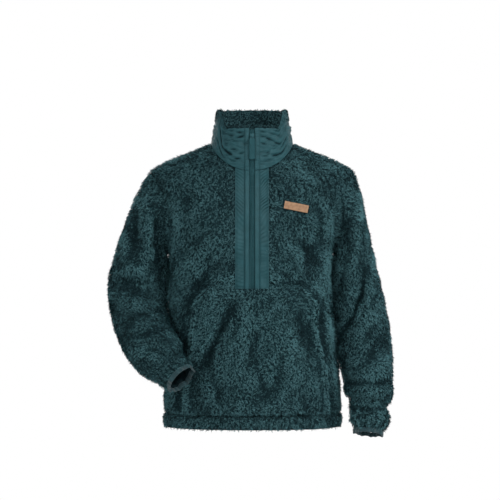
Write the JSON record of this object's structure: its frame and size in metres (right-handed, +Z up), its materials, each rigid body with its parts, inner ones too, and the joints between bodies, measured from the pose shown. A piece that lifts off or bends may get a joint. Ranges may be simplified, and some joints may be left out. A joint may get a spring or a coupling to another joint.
{
  "type": "half-zip sherpa fleece jacket, worn shape",
  "caption": "Half-zip pullover jacket of high-pile fleece in its hollow worn shape, with nylon collar and placket, pouch pocket and a free zip pull.",
  "frame": {"origin": "middle of the neck and shoulders, at mid depth and level with the inner ends of the shoulder seams, where the wearer holds the jacket up", "axes": "+Z up along the wearer's spine, -Y the way the wearer faces, +X the wearer's left"},
  "size_m": [0.687, 0.3309, 0.7874],
  "materials": {
    "fleece": "matte",
    "nylon": "satin",
    "binding": "matte",
    "zip_tape": "matte",
    "painted_metal": "satin",
    "pull_rubber": "matte",
    "leather": "matte"
  },
  "bodies": {
    "garment": {"front": "fleece", "back": "fleece", "pocket": "fleece", "sleeve_left": "fleece", "sleeve_right": "fleece", "cuff_left": "binding", "cuff_right": "binding", "collar_outer": "nylon", "collar_lining": "fleece", "placket_left": "nylon", "placket_right": "nylon", "zip_tape_left": "zip_tape", "zip_tape_right": "zip_tape", "zip_slider": "painted_metal", "chest_label": "leather"},
    "zip_pull": {"zip_pull": "pull_rubber"}
  },
  "joints": [
    {"name": "pull_hinge", "type": "hinge", "parent": "garment", "child": "zip_pull", "pos_m": [0, -0.0936, 0.0113], "axis": [-1, 0, 0], "range_deg": [0, 150]}
  ]
}
